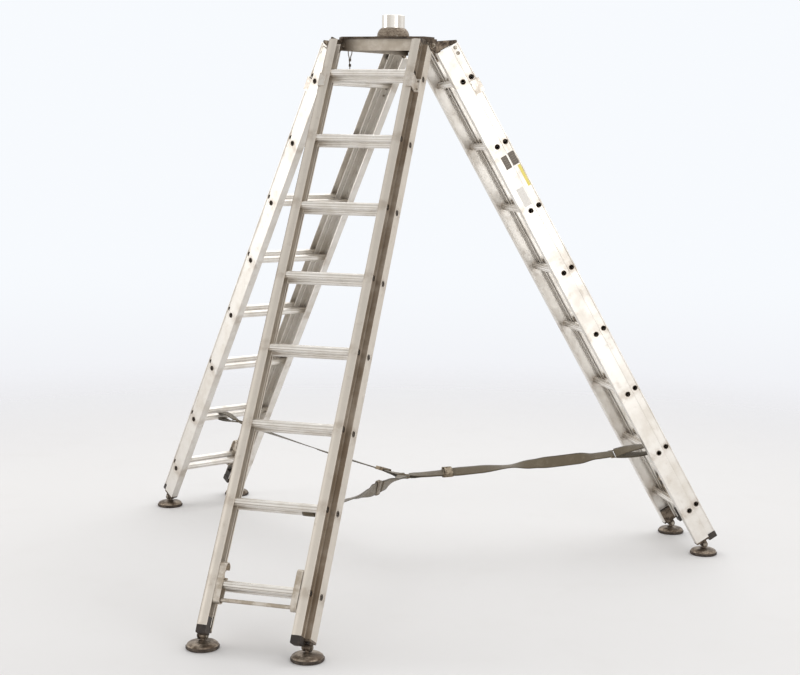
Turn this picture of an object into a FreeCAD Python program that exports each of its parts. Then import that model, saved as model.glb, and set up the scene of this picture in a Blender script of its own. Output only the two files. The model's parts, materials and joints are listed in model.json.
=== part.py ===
import FreeCAD, Part
import math
import os

from FreeCAD import Placement, Rotation, Vector

# Three-legged ladder stand: each leg is a two-section extension ladder hinged to a
# triangular head. Millimetres, +Z up, origin on the floor under the centre of the head.
# Leg space: x runs across the leg, "out" is square to the ladder away from the stand's
# inside, z runs up the ladder, and the origin is on the leg's hinge axis.

# stance
lean = 30.0
hinge_radius = 130.0
leg_turns = {"leg1": 0.0, "leg2": 120.0, "leg3": 240.0}

# ladder sections
rung_pitch = 304.8
rung_count = 8
hinge_above_rail = 36.6
hinge_inset = 6.0
section_gap = 1.0
base_half_width = 217.5
base_depth = 63.0
base_flange = 36.0
base_wall = 3.0
base_lip = 6.0
base_rung_set = 40.0
fly_half_width = 196.0
fly_depth = 41.0
fly_flange = 36.0
fly_wall = 2.8
fly_rung_set = 23.0
web_recess = 2.5
recess_border = 5.0
flange_crown = 2.0
edge_radius = 1.2

# rungs
rung_diameter = 30.0
rung_wall = 2.0
rung_neck = 21.0
rung_bore = 17.0
rung_flare = 22.8
flare_height = 1.6
rung_crimp = 12.0

# guide brackets at the top of the base section
guide_length = 60.0
guide_wall = 4.0
guide_below_rung = 45.0
guide_lip = 24.0
guide_clearance = 0.8
guide_screw = 6.0
guide_screw_inset = 8.4
guide_screw_spread = 36.0

# hinge plates on the fly rails and the pivots in the head
hinge_plate = 6.0
hinge_eye = 16.0
hinge_tail = 92.0
pivot_bolt = 12.0
pivot_clearance = 0.05
side_clearance = 0.7
rivet = 8.0

# rung locks at the foot of the fly section
lock_width = 38.0
lock_depth = 24.0
lock_wall = 3.0
lock_above = 80.0
lock_below = 72.0
lock_gap = 2.0
lock_open_angle = 60.0
lock_claw = 9.0
lock_claw_plate = 10.0
lock_rest_gap = 0.6
link_rod = 14.0
link_below = 56.0

# feet
plug_height = 30.0
plug_tongue = 34.0
foot_below_rail = 24.0
foot_height = 46.0
pad_diameter = 120.0
pad_thickness = 13.0
pad_dome = 14.5
foot_eye = 12.0
foot_pin = 12.0
foot_lug = 5.0
foot_side_gap = 1.0
socket_height = 50.0
collar_height = 8.0

# head
beam_radius = 118.0
beam_thickness = 6.0
beam_drop = 22.0
plate_base = 26.0
plate_thickness = 8.0
plate_radius = 140.0
plate_corner = 228.0
lug_thickness = 6.0
lug_inner = 110.0
lug_outer = 148.0
flange_diameter = 172.0
flange_height = 44.0
flange_rim = 6.0
spigot_diameter = 96.0
spigot_bore = 80.0
spigot_height = 53.0
spigot_seat = 18.0
spigot_shoulder = 0.8
flange_bolt_circle = 154.0
flange_bolt = 6.0
flange_bolt_head = 5.5
flange_bell = 134.0
flange_bolt_count = 6

# spreader strap and lanyard
strap_width = 50.0
strap_thickness = 3.0
strap_rung = 6
strap_centre = (71.0, 21.0, 356.0)
strap_offsets = {"leg1": 112.0, "leg2": -118.0, "leg3": 52.0}
ring_diameter = 64.0
ring_wire = 10.0
strap_clearance = 0.4
buckle_spots = {"leg1": 0.10, "leg2": 0.12, "leg3": 0.11}
buckle_size = (66.0, 46.0, 14.0)
lanyard_diameter = 4.0
lanyard_strands = (
    ((-158.0, -22.0), (-158.0, -38.0), (-152.2, -54.0), (-152.2, -72.0), (-149.5, -90.0), (-151.0, -108.0)),
    ((-141.0, -22.0), (-141.0, -34.0), (-147.8, -48.0), (-147.8, -61.0)),
)
ferrule_spots = (-61.0, -83.0)
ferrule_size = (10.0, 11.0)

# places that follow from the sizes above
rail_length = rung_pitch * rung_count
rail_top = -hinge_above_rail
rail_bottom = rail_top - rail_length
base_in = -hinge_inset
base_out = base_in + base_depth
base_middle = base_in + base_depth / 2
fly_in = base_out + section_gap
fly_out = fly_in + fly_depth
base_rung_out = base_in + base_rung_set
fly_rung_out = fly_in + fly_rung_set
base_tip = base_half_width - base_flange
fly_tip = fly_half_width - fly_flange
base_web_in = base_half_width - base_wall
fly_web_out = fly_half_width - web_recess
fly_web_in = fly_web_out - fly_wall
foot_z = rail_bottom - foot_below_rail
slope = math.radians(lean)
hinge_height = foot_height - foot_z * math.cos(slope) - base_middle * math.sin(slope)
hinge_plate_in = fly_web_in - hinge_plate
lug_out = hinge_plate_in - side_clearance
lug_in = lug_out - lug_thickness


def place(x, out, z):
    return Vector(x, -out, z)


def rung_z(index):
    return rail_top - rung_pitch * (index + 0.5)


def mirrored(shape):
    return shape.mirror(Vector(0, 0, 0), Vector(1, 0, 0))


def rounded_wire(corners, radius):
    """Closed wire through the corners, each one rounded by an arc of the radius."""
    edges = []
    count = len(corners)
    arcs = []
    for index in range(count):
        corner = corners[index]
        before = (corners[index - 1] - corner).normalize()
        after = (corners[(index + 1) % count] - corner).normalize()
        half = before.getAngle(after) / 2
        reach = radius / math.tan(half)
        middle = (before + after).normalize()
        centre = corner + middle * (radius / math.sin(half))
        arcs.append((corner + before * reach, centre - middle * radius, corner + after * reach))
    for index in range(count):
        first, halfway, last = arcs[index]
        following = arcs[(index + 1) % count][0]
        edges.append(Part.Arc(first, halfway, last).toShape())
        edges.append(Part.makeLine(last, following))
    return Part.Wire(edges)


def bar(outline, low, high, radius=edge_radius):
    """Prism along the ladder from an (x, out) outline."""
    corners = [place(x, out, low) for x, out in outline]
    return Part.Face(rounded_wire(corners, radius)).extrude(Vector(0, 0, high - low))


def plate(outline, low, high, radius=edge_radius):
    """Prism across the leg from an (out, z) outline."""
    corners = [place(low, out, z) for out, z in outline]
    return Part.Face(rounded_wire(corners, radius)).extrude(Vector(high - low, 0, 0))


def block(x_low, x_high, out_low, out_high, z_low, z_high):
    corner = place(x_low, out_high, z_low)
    return Part.makeBox(x_high - x_low, out_high - out_low, z_high - z_low, corner)


def cross_cylinder(radius, x_low, x_high, out, z):
    return Part.makeCylinder(radius, x_high - x_low, place(x_low, out, z), Vector(1, 0, 0))


def turned(profile, origin, axis):
    """Solid of revolution from (along, radius) pairs about an axis through origin."""
    points = [Vector(along, radius, 0) for along, radius in profile]
    face = Part.Face(Part.makePolygon(points + points[:1]))
    solid = face.revolve(Vector(0, 0, 0), Vector(1, 0, 0), 360)
    solid.Placement = Placement(origin, Rotation(Vector(1, 0, 0), axis))
    return solid


def both_sides(maker):
    right = maker()
    return [right, mirrored(right)]


# ladder sections

def base_rail():
    top = base_out - base_wall
    floor = base_in + base_wall
    lip = base_tip + base_wall
    outline = [
        (base_tip, base_in), (base_half_width, base_in), (base_half_width, base_out), (base_tip, base_out),
        (base_tip, base_out - base_lip), (lip, base_out - base_lip), (lip, top), (base_web_in, top),
        (base_web_in, floor), (lip, floor), (lip, base_in + base_lip), (base_tip, base_in + base_lip),
    ]
    rail = bar(outline, rail_bottom, rail_top)
    cuts = [rung_hole(base_web_in, base_half_width, base_rung_out, index) for index in range(rung_count)]
    cuts += [guide_screw_hole(z) for z in guide_screw_places()]
    return rail.cut(Part.makeCompound(cuts))


def fly_rail():
    border_in = fly_in + recess_border
    border_out = fly_out - recess_border
    outline = [
        (fly_tip, fly_in), (fly_half_width, fly_in), (fly_half_width, border_in), (fly_web_out, border_in),
        (fly_web_out, border_out), (fly_half_width, border_out), (fly_half_width, fly_out), (fly_tip, fly_out),
        (fly_tip, fly_out - fly_wall), (fly_web_in, fly_out - fly_wall), (fly_web_in, fly_in + fly_wall),
        (fly_tip, fly_in + fly_wall),
    ]
    rail = bar(outline, rail_bottom, rail_top, min(edge_radius, fly_wall / 2.5))
    middle = (fly_tip + fly_half_width) / 2
    start = place(fly_tip + edge_radius, fly_out - fly_wall / 2, rail_bottom)
    crest = place(middle, fly_out + flange_crown, rail_bottom)
    end = place(fly_half_width - edge_radius, fly_out - fly_wall / 2, rail_bottom)
    bow = Part.Wire([Part.Arc(start, crest, end).toShape(), Part.makeLine(end, start)])
    crown = Part.Face(bow).extrude(Vector(0, 0, rail_length))
    cuts = [rung_hole(fly_web_in, fly_half_width, fly_rung_out, index) for index in range(rung_count)]
    cuts += [rivet_hole(out, z) for out, z in hinge_rivet_places()]
    return rail.fuse(crown).removeSplitter().cut(Part.makeCompound(cuts))


def rung_hole(low, high, out, index):
    return cross_cylinder(rung_neck / 2, low - 1, high + 1, out, rung_z(index))


def rungs(web_in, wall, out):
    """Tubes with crimped ends that pass through the webs and are flared outside."""
    web_out = web_in + wall
    end = web_out + flare_height
    crimp = web_in - rung_crimp
    half = [
        (web_in, rung_diameter / 2), (web_in, rung_neck / 2), (web_out, rung_neck / 2),
        (web_out, rung_flare / 2), (end, rung_flare / 2), (end, rung_bore / 2),
        (crimp, rung_bore / 2), (crimp, rung_diameter / 2 - rung_wall),
    ]
    profile = half + [(-along, radius) for along, radius in reversed(half)]
    return [turned(profile, place(0, out, rung_z(index)), Vector(1, 0, 0)) for index in range(rung_count)]


# guide brackets

def guide_screw_places():
    middle = rung_z(0) - guide_below_rung
    return [middle - guide_screw_spread / 2, middle + guide_screw_spread / 2]


def guide_screw_x():
    return base_half_width - guide_screw_inset


def guide_screw_hole(z):
    start = place(guide_screw_x(), base_out - base_wall - 1, z)
    return Part.makeCylinder(guide_screw / 2, base_wall + guide_wall + 2, start, Vector(0, -1, 0))


def guide_bracket():
    inner = fly_half_width + guide_clearance
    outer = inner + guide_wall
    roof = fly_out + flange_crown + guide_clearance
    foot = base_out + guide_wall
    tip = fly_half_width - guide_lip
    outline = [
        (inner, base_out), (base_half_width, base_out), (base_half_width, foot), (outer, foot),
        (outer, roof + guide_wall), (tip, roof + guide_wall), (tip, roof), (inner, roof),
    ]
    middle = rung_z(0) - guide_below_rung
    body = bar(outline, middle - guide_length / 2, middle + guide_length / 2)
    return body.cut(Part.makeCompound([guide_screw_hole(z) for z in guide_screw_places()]))


def guide_screws():
    head = guide_screw * 0.75
    back = base_out - base_wall
    screws = []
    for z in guide_screw_places():
        profile = [
            (-3, 0), (-3, head), (0, head), (0, guide_screw / 2), (base_wall + guide_wall, guide_screw / 2),
            (base_wall + guide_wall, head), (base_wall + guide_wall + 3, head * 0.8), (base_wall + guide_wall + 3, 0),
        ]
        screws.append(turned(profile, place(guide_screw_x(), back, z), Vector(0, -1, 0)))
    return screws


# hinge plates

def hinge_rivet_places():
    middle = (fly_in + fly_out) / 2
    return [(middle, -hinge_tail + 14), (middle, -hinge_tail + 40)]


def rivet_hole(out, z):
    return cross_cylinder(rivet / 2, hinge_plate_in - 1, fly_half_width + 1, out, z)


def hinge_plate_piece():
    clear = 1.5
    low = fly_in + fly_wall + clear
    high = fly_out - fly_wall - clear
    shelf = rail_top + 2
    outline = [
        (-hinge_eye / 2, shelf), (-hinge_eye, 0), (-hinge_eye / 3, hinge_eye * 0.9), (hinge_eye / 2, hinge_eye * 0.9),
        (fly_out, shelf + 8), (fly_out, shelf), (high, shelf), (high, -hinge_tail), (low, -hinge_tail), (low, shelf),
    ]
    body = plate(outline, hinge_plate_in, fly_web_in, 0.9)
    holes = [rivet_hole(out, z) for out, z in hinge_rivet_places()]
    holes.append(cross_cylinder(pivot_bolt / 2 + pivot_clearance, hinge_plate_in - 1, fly_web_in + 1, 0, 0))
    return body.cut(Part.makeCompound(holes))


def hinge_rivets():
    grip = fly_web_out - hinge_plate_in
    profile = [
        (-4, 0), (-4, rivet * 0.8), (0, rivet * 0.8), (0, rivet / 2), (grip, rivet / 2),
        (grip, rivet), (grip + 1, rivet), (grip + 1.8, rivet * 0.7), (grip + 1.8, 0),
    ]
    return [turned(profile, place(hinge_plate_in, out, z), Vector(1, 0, 0)) for out, z in hinge_rivet_places()]


# rung locks

def lock_bite():
    """Seat of the claw: where the base rung would be with the lock swung shut."""
    reach = fly_rung_out - base_rung_out
    swing = math.radians(lock_open_angle)
    z = rung_z(rung_count - 1)
    return fly_rung_out - reach * math.cos(swing), z + reach * math.sin(swing)


def slot_prism(half_width, low, high, x_low, x_high, out):
    """Round-ended prism across the leg."""
    body = block(x_low, x_high, out - half_width, out + half_width, low + half_width, high - half_width)
    ends = [cross_cylinder(half_width, x_low, x_high, out, z) for z in (low + half_width, high - half_width)]
    return body.fuse(ends).removeSplitter()


def lock_lever():
    z = rung_z(rung_count - 1)
    high = fly_tip - lock_gap
    low = high - lock_depth
    floor = high - lock_wall
    top = z + lock_above
    bottom = z - lock_below
    half = lock_width / 2
    shell = slot_prism(half, bottom, top, low, high, fly_rung_out)
    hollow = slot_prism(half - lock_wall, bottom + lock_wall, top - lock_wall, low - 1, floor, fly_rung_out)
    seat_out, seat_z = lock_bite()
    seat = rung_diameter / 2 + lock_rest_gap
    claw_low = floor - lock_claw_plate
    claw = cross_cylinder(seat + lock_claw, claw_low, floor, seat_out, seat_z)
    claw = claw.common(block(claw_low, floor, seat_out, fly_rung_out, seat_z - lock_claw, top))
    web = slot_prism(half - lock_wall / 2, z + rung_diameter / 2 + 2, top - lock_wall / 2, claw_low, floor, fly_rung_out)
    lever = shell.cut(hollow).fuse([claw, web])
    neck = link_rod / 2 - 3
    cuts = [
        cross_cylinder(seat, low - 1, high + 1, seat_out, seat_z),
        cross_cylinder(rung_diameter / 2 + pivot_clearance, low - 1, high + 1, fly_rung_out, z),
        cross_cylinder(neck, low - 1, high + 1, fly_rung_out, z - link_below),
    ]
    return lever.cut(Part.makeCompound(cuts)).removeSplitter()


def lock_rod():
    high = fly_tip - lock_gap
    floor = high - lock_wall
    neck = link_rod / 2 - 3
    end = high + lock_gap - 0.6
    half = [(floor, link_rod / 2), (floor, neck), (high, neck), (high, neck + 3), (end, neck + 2.4), (end, 0)]
    profile = half + [(-along, radius) for along, radius in reversed(half)]
    return turned(profile, place(0, fly_rung_out, rung_z(rung_count - 1) - link_below), Vector(1, 0, 0))


# feet

def end_plug():
    clear = 0.8
    cap = block(fly_tip, fly_half_width, fly_in, fly_out, rail_bottom - plug_height, rail_bottom)
    ring = [edge for edge in cap.Edges if edge.BoundBox.ZMax < rail_bottom - 1]
    cap = cap.makeFillet(5.0, ring)
    tongue = block(fly_tip + 2, fly_web_in - clear, fly_in + fly_wall + clear, fly_out - fly_wall - clear,
                   rail_bottom, rail_bottom + plug_tongue)
    return cap.fuse(tongue).removeSplitter()


def foot_middle():
    return (base_tip + base_wall + base_web_in) / 2


def foot_span():
    """Half width between the lugs and half width over them."""
    outer = (base_web_in - base_tip - base_wall) / 2 - 0.5
    return outer - foot_lug, outer


def foot_bracket():
    clear = 0.3
    inner, outer = foot_span()
    middle = foot_middle()
    socket = block(middle - outer, middle + outer, base_in + base_wall + clear, base_out - base_wall - clear,
                   rail_bottom - collar_height, rail_bottom + socket_height)
    collar = bar([(base_tip, base_in), (base_half_width, base_in), (base_half_width, base_out), (base_tip, base_out)],
                 rail_bottom - collar_height, rail_bottom, 3.0)
    radius = foot_eye + 2
    cheek = block(middle - outer, middle + outer, base_middle - radius, base_middle + radius, foot_z, rail_bottom)
    body = socket.fuse([collar, cheek, cross_cylinder(radius, middle - outer, middle + outer, base_middle, foot_z)])
    slot = block(middle - inner, middle + inner, base_in - 1, base_out + 1, foot_z - radius - 1,
                 foot_z + foot_below_rail - collar_height)
    pin = cross_cylinder(foot_pin / 2, middle - outer - 1, middle + outer + 1, base_middle, foot_z)
    return body.removeSplitter().cut(slot.fuse(pin))


def foot_pin_piece():
    inner, outer = foot_span()
    head = foot_pin * 0.75
    profile = [
        (-outer - 5, 0), (-outer - 5, head), (-outer, head), (-outer, foot_pin / 2), (outer, foot_pin / 2),
        (outer, head), (outer + 4, head), (outer + 5, head * 0.8), (outer + 5, 0),
    ]
    return turned(profile, place(foot_middle(), base_middle, foot_z), Vector(1, 0, 0))


def foot_pad():
    """Pad that lies flat on the floor, with its eye on the foot pin."""
    inner, outer = foot_span()
    rim = pad_diameter / 2
    neck = inner - foot_side_gap
    sole = -foot_height + pad_thickness
    crest = sole + pad_dome
    shoulder = rim - 3 - foot_eye * 2
    dome = [math.radians(angle) for angle in (0, 20, 40, 60, 78)]
    bore = foot_pin / 2 + pivot_clearance
    profile = [(-foot_height, 0), (-foot_height, rim - 4), (-foot_height + 4, rim), (sole - 3, rim)]
    profile += [(sole + pad_dome * math.sin(turn), foot_eye * 2 + shoulder * math.cos(turn)) for turn in dome]
    profile += [(crest, foot_eye * 2), (crest + 3, neck), (-foot_eye / 2, neck), (-foot_eye / 2, 0)]
    pad = turned(profile, Vector(0, 0, 0), Vector(0, 0, 1))
    eye = Part.makeCylinder(foot_eye, 2 * neck, Vector(-neck, 0, 0), Vector(1, 0, 0))
    pad = pad.fuse(eye).removeSplitter()
    pad = pad.cut(Part.makeCylinder(bore, 4 * neck, Vector(-2 * neck, 0, 0), Vector(1, 0, 0)))
    pad.Placement = Placement(place(foot_middle(), base_middle, foot_z), Rotation(Vector(1, 0, 0), lean))
    return pad


# head

def in_head(shape, turn):
    shape.rotate(Vector(0, 0, 0), Vector(0, 0, 1), turn)
    shape.translate(Vector(0, 0, hinge_height))
    return shape


def head_beam():
    return Part.makeBox(2 * lug_in, beam_thickness, beam_drop + plate_base,
                        Vector(-lug_in, -beam_radius, -beam_drop))


def head_lug():
    outline = [
        (lug_inner, -beam_drop), (lug_outer - 6, -beam_drop), (lug_outer, -beam_drop + 12),
        (lug_outer, plate_base), (lug_inner, plate_base),
    ]
    corners = [Vector(lug_in, -radius, z) for radius, z in outline]
    body = Part.Face(rounded_wire(corners, 2.0)).extrude(Vector(lug_thickness, 0, 0))
    start = Vector(lug_in - 1, -hinge_radius, 0)
    return body.cut(Part.makeCylinder(pivot_bolt / 2, lug_thickness + 2, start, Vector(1, 0, 0)))


def head_corner():
    """Two pivot lugs, one for each neighbouring leg, joined by a web at the corner."""
    right = head_lug()
    left = mirrored(head_lug())
    left.rotate(Vector(0, 0, 0), Vector(0, 0, 1), 120)
    web_points = [Vector(lug_in, -lug_outer + 10, 0), Vector(lug_in, -lug_inner, 0)]
    turn = Rotation(Vector(0, 0, 1), 120)
    web_points += [turn.multVec(Vector(-point.x, point.y, 0)) for point in reversed(web_points)]
    base = [point + Vector(0, 0, plate_base - 10) for point in web_points]
    web = Part.Face(Part.makePolygon(base + base[:1])).extrude(Vector(0, 0, 10))
    return right.fuse([left, web]).removeSplitter()


def top_plate():
    corners = []
    cut = math.acos(plate_radius / plate_corner)
    for turn in leg_turns.values():
        for side in (-1, 1):
            angle = math.radians(turn - 90) + side * cut
            corners.append(Vector(plate_corner * math.cos(angle), plate_corner * math.sin(angle), plate_base))
    body = Part.Face(rounded_wire(corners, 14.0)).extrude(Vector(0, 0, plate_thickness))
    return body.cut(Part.makeCompound(flange_bolt_holes()))


def flange_bolt_places():
    step = 2 * math.pi / flange_bolt_count
    radius = flange_bolt_circle / 2
    return [Vector(radius * math.cos(step * k), radius * math.sin(step * k), 0) for k in range(flange_bolt_count)]


def flange_bolt_holes():
    reach = plate_thickness + flange_rim + 2
    start = Vector(0, 0, plate_base - 1)
    return [Part.makeCylinder(flange_bolt / 2, reach, spot + start) for spot in flange_bolt_places()]


def mount_flange():
    """Bell-shaped casting that carries the spigot in a socket."""
    foot = plate_base + plate_thickness
    top = foot + flange_height
    rim = flange_diameter / 2
    seat = spigot_diameter / 2 - spigot_shoulder
    outer = [
        Vector(rim, 0, foot), Vector(rim, 0, foot + flange_rim), Vector(flange_bell / 2, 0, foot + flange_rim),
    ]
    crest = Vector(spigot_diameter / 2 + 2, 0, top)
    bend = Vector((outer[2].x + crest.x) / 2 + 5, 0, (outer[2].z + crest.z) / 2 + 4)
    bottom = top - spigot_seat
    inner = [
        crest, Vector(seat, 0, top), Vector(seat, 0, bottom), Vector(spigot_bore / 2, 0, bottom),
        Vector(spigot_bore / 2, 0, foot), outer[0],
    ]
    edges = [Part.makeLine(first, second) for first, second in zip(outer, outer[1:])]
    edges.append(Part.Arc(outer[2], bend, crest).toShape())
    edges += [Part.makeLine(first, second) for first, second in zip(inner, inner[1:])]
    body = Part.Face(Part.Wire(edges)).revolve(Vector(0, 0, 0), Vector(0, 0, 1), 360)
    return body.cut(Part.makeCompound(flange_bolt_holes()))


def mount_spigot():
    bottom = plate_base + plate_thickness + flange_height - spigot_seat
    height = spigot_seat + spigot_height
    bevel = 1.5
    outer = spigot_diameter / 2
    bore = spigot_bore / 2
    profile = [
        (0, bore), (0, outer - spigot_shoulder), (spigot_seat, outer - spigot_shoulder),
        (spigot_seat, outer), (height - bevel, outer), (height, outer - bevel),
        (height, bore + bevel), (height - bevel, bore),
    ]
    return turned(profile, Vector(0, 0, bottom), Vector(0, 0, 1))


def hexagon(radius, height, start, axis):
    points = [Vector(radius * math.cos(math.radians(60 * k)), radius * math.sin(math.radians(60 * k)), 0)
              for k in range(6)]
    body = Part.Face(Part.makePolygon(points + points[:1])).extrude(Vector(0, 0, height))
    body.Placement = Placement(start, Rotation(Vector(0, 0, 1), axis))
    return body


def pivot_bolt_piece():
    """Bolt from inside the head, through the lug and the hinge plate, with its nut outside."""
    inside = lug_in - 7
    end = fly_web_in + 8
    start = Vector(inside, -hinge_radius, 0)
    shank = Part.makeCylinder(pivot_bolt / 2, end - inside + 3, start, Vector(1, 0, 0))
    head = hexagon(10.0, 7.0, start, Vector(1, 0, 0))
    nut = hexagon(10.0, 7.5, Vector(fly_web_in + 0.5, -hinge_radius, 0), Vector(1, 0, 0))
    return shank.fuse([head, nut]).removeSplitter()


def flange_bolts():
    bolts = []
    top = plate_base + plate_thickness + flange_rim
    for spot in flange_bolt_places():
        shank = Part.makeCylinder(flange_bolt / 2, top - plate_base + 5, spot + Vector(0, 0, plate_base))
        bolts.append(shank.fuse(hexagon(flange_bolt_head, 5.0, spot + Vector(0, 0, top), Vector(0, 0, 1))).removeSplitter())
    return bolts


# spreader strap

def rung_seat(name):
    """Where a strap goes round its base rung, in the stand's space."""
    local = place(strap_offsets[name], base_rung_out, rung_z(strap_rung))
    return leg_placement(name).multVec(local)


def strap_frame(name):
    """Placement with x from the centre ring to the rung, y level across the strap."""
    seat = rung_seat(name)
    centre = Vector(*strap_centre)
    along = (seat - centre).normalize()
    start = centre + along * (ring_diameter / 2)
    across = Vector(0, 0, 1).cross(along).normalize()
    rotation = Rotation(along, across, along.cross(across), "XYZ")
    return Placement(start, rotation), (seat - start).Length


def strap_arm(name):
    frame, length = strap_frame(name)
    inner = rung_diameter / 2 + strap_clearance
    begin = ring_wire / 2 + 1
    arm = Part.makeBox(length - inner - begin, strap_width, strap_thickness,
                       Vector(begin, -strap_width / 2, -strap_thickness / 2))
    arm.Placement = frame
    axis = leg_placement(name).Rotation.multVec(Vector(1, 0, 0))
    seat = rung_seat(name)
    low = seat - axis * (strap_width / 2)
    loop = Part.makeCylinder(inner + strap_thickness, strap_width, low, axis)
    hole = Part.makeCylinder(inner, strap_width + 40, low - axis * 20, axis)
    return arm.fuse(loop).cut(hole).removeSplitter()


def strap_buckle(name):
    frame, length = strap_frame(name)
    wide, long, thick = buckle_size
    middle = buckle_spots[name] * length
    body = Part.makeBox(long, wide, thick, Vector(middle, -wide / 2, -thick / 2))
    slot = Part.makeBox(long + 2, strap_width + 2, strap_thickness + 2,
                        Vector(middle - 1, -strap_width / 2 - 1, -strap_thickness / 2 - 1))
    window = Part.makeBox(long / 3, strap_width, thick, Vector(middle + long / 3, -strap_width / 2, 0))
    body = body.cut(slot.fuse(window))
    body.Placement = frame
    return body


def strap_ring():
    return Part.makeTorus((ring_diameter - ring_wire) / 2, ring_wire / 2, Vector(*strap_centre))


# lanyard

def tube_along(points, diameter):
    """Round cord: straight runs joined by tangent arcs as large as the runs allow."""
    edges = []
    radii = []
    start = points[0]
    for before, corner, after in zip(points, points[1:], points[2:]):
        back = before - corner
        ahead = after - corner
        shorter = min(back.Length, ahead.Length)
        back.normalize()
        ahead.normalize()
        turn = math.pi - back.getAngle(ahead)
        reach = 0.45 * shorter
        radius = reach / math.tan(turn / 2)
        middle = (back + ahead).normalize()
        centre = corner + middle * math.hypot(reach, radius)
        first = corner + back * reach
        last = corner + ahead * reach
        edges.append(Part.makeLine(start, first))
        edges.append(Part.Arc(first, centre - middle * radius, last).toShape())
        radii.append(round(radius, 1))
        start = last
    edges.append(Part.makeLine(start, points[-1]))
    path = Part.Wire(edges)
    section = Part.Wire(Part.makeCircle(diameter / 2, points[0], points[1] - points[0]))
    tube = path.makePipeShell([section], True, False)
    ideal = math.pi * diameter ** 2 / 4 * path.Length
    print("cord length", round(path.Length, 1), "radii", radii, "volume ratio", round(tube.Volume / ideal, 3))
    return tube


def lanyard_depth():
    return -beam_radius + beam_thickness / 2


def lanyard():
    strands = []
    for strand in lanyard_strands:
        points = [Vector(x, lanyard_depth(), z + hinge_height) for x, z in strand]
        strands.append(tube_along(points, lanyard_diameter))
    return strands


def ferrules():
    wide, tall = ferrule_size
    strands = Part.makeCompound(lanyard())
    pieces = []
    for z in ferrule_spots:
        low = Vector(-150.0, lanyard_depth(), hinge_height + z - tall / 2)
        pieces.append(Part.makeCylinder(wide / 2, tall, low, Vector(0, 0, 1)).cut(strands))
    return pieces


def leg_placement(name):
    tilt = Placement(Vector(0, -hinge_radius, hinge_height), Rotation(Vector(1, 0, 0), -lean))
    turn = Placement(Vector(0, 0, 0), Rotation(Vector(0, 0, 1), leg_turns[name]))
    return turn.multiply(tilt)


def leg_pieces():
    """Every piece of one leg in leg space, by node name."""
    base_right, base_left = both_sides(base_rail)
    fly_right, fly_left = both_sides(fly_rail)
    pad_right, pad_left = both_sides(foot_pad)
    levers = both_sides(lock_lever)
    fly_fasteners = hinge_rivets()
    base_fasteners = guide_screws() + [foot_pin_piece()]
    return {
        "base_rail_right": [base_right],
        "base_rail_left": [base_left],
        "base_rungs": rungs(base_web_in, base_wall, base_rung_out),
        "guide_brackets": both_sides(guide_bracket),
        "foot_brackets": both_sides(foot_bracket),
        "base_fasteners": base_fasteners + [mirrored(piece) for piece in base_fasteners],
        "foot_right": [pad_right],
        "foot_left": [pad_left],
        "fly_rail_right": [fly_right],
        "fly_rail_left": [fly_left],
        "fly_rungs": rungs(fly_web_in, fly_wall, fly_rung_out),
        "hinge_plates": both_sides(hinge_plate_piece),
        "end_plugs": both_sides(end_plug),
        "fly_fasteners": fly_fasteners + [mirrored(piece) for piece in fly_fasteners],
        "lock_levers": levers,
        "lock_rod": [lock_rod()],
    }


def head_pieces():
    turns = list(leg_turns.values())
    bolts = []
    for turn in turns:
        bolts += [in_head(piece, turn) for piece in both_sides(pivot_bolt_piece)]
    return {
        "head_beams": [in_head(head_beam(), turn) for turn in turns],
        "head_corners": [in_head(head_corner(), turn) for turn in turns],
        "head_bolts": bolts + [in_head(bolt, 0) for bolt in flange_bolts()],
        "top_plate": [in_head(top_plate(), 0)],
        "mount_flange": [in_head(mount_flange(), 0)],
        "mount_spigot": [in_head(mount_spigot(), 0)],
        "lanyard": lanyard(),
        "lanyard_ferrules": ferrules(),
    }


def save(node, solids):
    shape = solids[0] if len(solids) == 1 else Part.makeCompound(solids)
    shape.exportStep(os.path.join("parts", node + ".step"))
    print(node, len(shape.Solids), shape.isValid(), round(shape.Volume / 1000, 1))


def main():
    os.makedirs("parts", exist_ok=True)
    for node, solids in head_pieces().items():
        save(node, solids)
    for name in leg_turns:
        for node, solids in leg_pieces().items():
            save(name + "_" + node, [solid.transformed(leg_placement(name).toMatrix()) for solid in solids])
        save(name + "_strap", [strap_arm(name)])
    save("strap_hardware", [strap_ring()] + [strap_buckle(name) for name in leg_turns])


main()
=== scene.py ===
import json
import math

import bmesh
import bpy
from mathutils import Matrix, Vector, noise


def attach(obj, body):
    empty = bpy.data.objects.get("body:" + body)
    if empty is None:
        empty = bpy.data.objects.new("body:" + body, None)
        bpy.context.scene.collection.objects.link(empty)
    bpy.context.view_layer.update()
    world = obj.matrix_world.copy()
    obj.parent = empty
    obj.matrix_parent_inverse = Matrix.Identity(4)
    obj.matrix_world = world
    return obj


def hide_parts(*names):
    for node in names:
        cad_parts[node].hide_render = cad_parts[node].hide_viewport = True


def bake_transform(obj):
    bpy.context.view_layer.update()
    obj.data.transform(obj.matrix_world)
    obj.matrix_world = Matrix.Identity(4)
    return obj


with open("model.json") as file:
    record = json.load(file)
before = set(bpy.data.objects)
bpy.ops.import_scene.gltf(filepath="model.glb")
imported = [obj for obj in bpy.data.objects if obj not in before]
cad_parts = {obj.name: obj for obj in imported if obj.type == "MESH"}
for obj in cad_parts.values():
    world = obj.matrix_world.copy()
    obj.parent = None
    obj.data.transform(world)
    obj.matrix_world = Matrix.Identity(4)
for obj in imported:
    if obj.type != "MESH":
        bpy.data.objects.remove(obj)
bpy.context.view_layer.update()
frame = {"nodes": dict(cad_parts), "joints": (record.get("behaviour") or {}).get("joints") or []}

nodes = frame["nodes"]
scene = bpy.context.scene
mm = 0.001

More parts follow.
